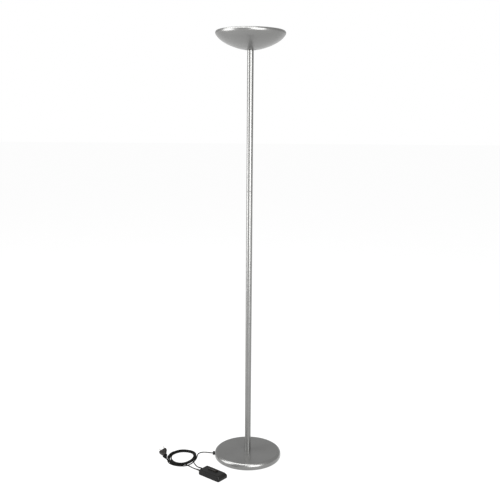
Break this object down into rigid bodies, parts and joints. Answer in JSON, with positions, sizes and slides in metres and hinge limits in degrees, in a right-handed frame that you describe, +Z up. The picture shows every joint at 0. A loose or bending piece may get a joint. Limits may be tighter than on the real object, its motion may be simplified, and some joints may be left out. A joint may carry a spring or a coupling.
{
  "type": "torchiere floor lamp",
  "caption": "Floor-standing uplighter with a shallow bowl shade on a straight jointed pole, a weighted round base, and a coiled cord with a foot dimmer and a mains plug.",
  "frame": {"origin": "on the floor, under the axis of the pole and base", "axes": "+Z up along the pole; the cord leaves the base towards -X and the foot dimmer lies to the front left, -Y being the front"},
  "size_m": [0.5326, 0.3856, 1.79],
  "materials": {
    "silver_paint": "satin silver lacquer with fine metallic flake",
    "cast_iron": "rough casting",
    "bottom_board": "matt black fibre board",
    "zinc_steel": "bright zinc plate",
    "foot_pad": "matt rubber",
    "black_nylon": "fine moulded texture",
    "bright_aluminium": "semi-bright, hammered",
    "ceramic": "unglazed steatite",
    "nickel_contact": "nickel plated brass",
    "spring_steel": "drawn spring steel",
    "quartz_glass": "clear quartz",
    "tungsten": "dull wire",
    "white_nylon": "moulded",
    "brass": "turned",
    "shield_glass": "clear borosilicate",
    "black_plastic": "satin moulded, lightly scuffed",
    "circuit_board": "solder mask",
    "choke_copper": "enamelled copper winding",
    "cord_rubber": "soft PVC sheath",
    "silicone_lead": "woven glass-fibre sleeve"
  },
  "bodies": {
    "lamp": {"base_cover": "silver_paint", "base_feet": "foot_pad", "base_nut": "zinc_steel", "base_plate": "bottom_board", "base_plate_screws": "zinc_steel", "base_plate_spacers": "zinc_steel", "base_threaded_tube": "zinc_steel", "base_washer": "zinc_steel", "base_weight": "cast_iron", "bowl_shade": "silver_paint", "contact_spring_left": "spring_steel", "contact_spring_right": "spring_steel", "cord_coil": "cord_rubber", "cord_from_dimmer": "cord_rubber", "cord_from_lamp": "cord_rubber", "cord_gland": "black_nylon", "cord_gland_nut": "black_nylon", "cord_to_dimmer": "cord_rubber", "cord_to_plug": "cord_rubber", "dimmer_base": "black_plastic", "dimmer_board": "circuit_board", "dimmer_choke": "choke_copper", "dimmer_cover": "black_plastic", "dimmer_feet": "foot_pad", "dimmer_grommet_lamp": "cord_rubber", "dimmer_grommet_mains": "cord_rubber", "dimmer_heatsink": "bright_aluminium", "dimmer_potentiometer": "zinc_steel", "dimmer_screws": "zinc_steel", "filament": "tungsten", "halogen_tube": "quartz_glass", "head_nipple": "zinc_steel", "head_nut": "zinc_steel", "head_spacer": "zinc_steel", "holder_lead_left": "silicone_lead", "holder_lead_right": "silicone_lead", "holder_screws": "zinc_steel", "lamp_bracket": "zinc_steel", "lamp_lead": "cord_rubber", "lampholder_left": "ceramic", "lampholder_right": "ceramic", "plug_body": "black_plastic", "plug_pins": "nickel_contact", "plug_relief": "cord_rubber", "pole_inserts": "zinc_steel", "pole_lower": "silver_paint", "pole_middle": "silver_paint", "pole_nipples": "zinc_steel", "pole_seam_rings": "black_nylon", "pole_upper": "silver_paint", "reflector": "bright_aluminium", "shield_clips": "spring_steel", "terminal_block": "white_nylon", "terminal_screws": "brass", "tube_ends": "ceramic"},
    "dimmer_slider_knob": {"dimmer_slider": "black_plastic"},
    "left_plunger": {"contact_left": "nickel_contact"},
    "right_plunger": {"contact_right": "nickel_contact"},
    "shield": {"glass_shield": "shield_glass"}
  },
  "joints": [
    {"name": "dimmer_slide", "type": "slide", "parent": "lamp", "child": "dimmer_slider_knob", "axis": [0.7771, -0.6293, 0], "range_m": [0, 0.026]},
    {"name": "left_contact_push", "type": "slide", "parent": "lamp", "child": "left_plunger", "axis": [-1, 0, 0], "range_m": [0, 0.0025], "stiffness_N_per_m": 1500, "springref_m": -0.002, "deforming": ["contact_spring_left"]},
    {"name": "right_contact_push", "type": "slide", "parent": "lamp", "child": "right_plunger", "axis": [1, 0, 0], "range_m": [0, 0.0025], "stiffness_N_per_m": 1500, "springref_m": -0.002, "deforming": ["contact_spring_right"]},
    {"name": "shield_lift", "type": "slide", "parent": "lamp", "child": "shield", "axis": [0, 0, 1], "range_m": [0, 0.06]}
  ]
}
